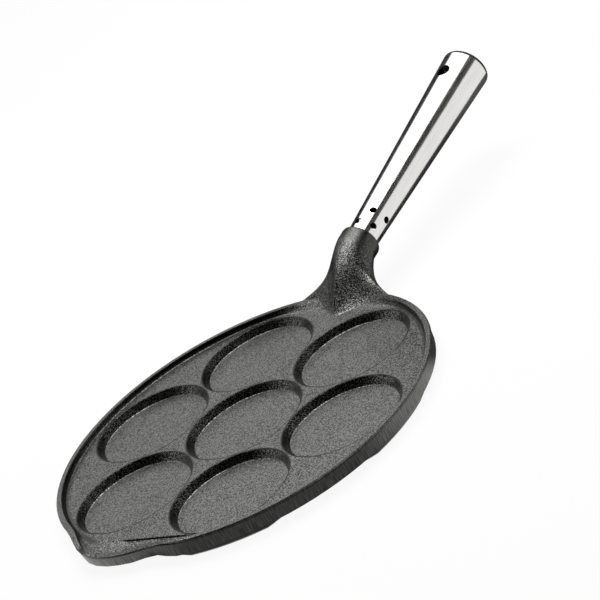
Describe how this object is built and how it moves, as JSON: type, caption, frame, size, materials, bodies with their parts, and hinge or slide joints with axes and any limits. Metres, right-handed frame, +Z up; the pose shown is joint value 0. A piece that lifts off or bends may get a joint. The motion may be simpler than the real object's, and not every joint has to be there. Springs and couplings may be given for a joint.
{
  "type": "plett pan",
  "caption": "Cast-iron plett pan: round plate with shallow round wells, a low rim and a pouring spout, and a rising steel tube handle with vents and a hang hole.",
  "frame": {"origin": "middle of the round plate, on the plane of the pads' undersides that the pan stands on", "axes": "+Z up; +X from the middle of the plate towards the handle; +Y to the left of the handle"},
  "size_m": [0.4124, 0.23, 0.0689],
  "materials": {
    "cast_iron": "seasoned cast iron, fine sand-cast grain, satin",
    "stainless_steel": "stainless steel, finely brushed and polished",
    "plated_steel": "zinc-plated steel"
  },
  "bodies": {
    "root": {"pan_casting": "cast_iron", "handle_tube": "stainless_steel", "handle_end_cap": "stainless_steel", "tube_bulkhead": "stainless_steel", "tie_stud": "plated_steel", "lock_washer": "plated_steel", "tie_nut": "plated_steel"}
  },
  "joints": []
}
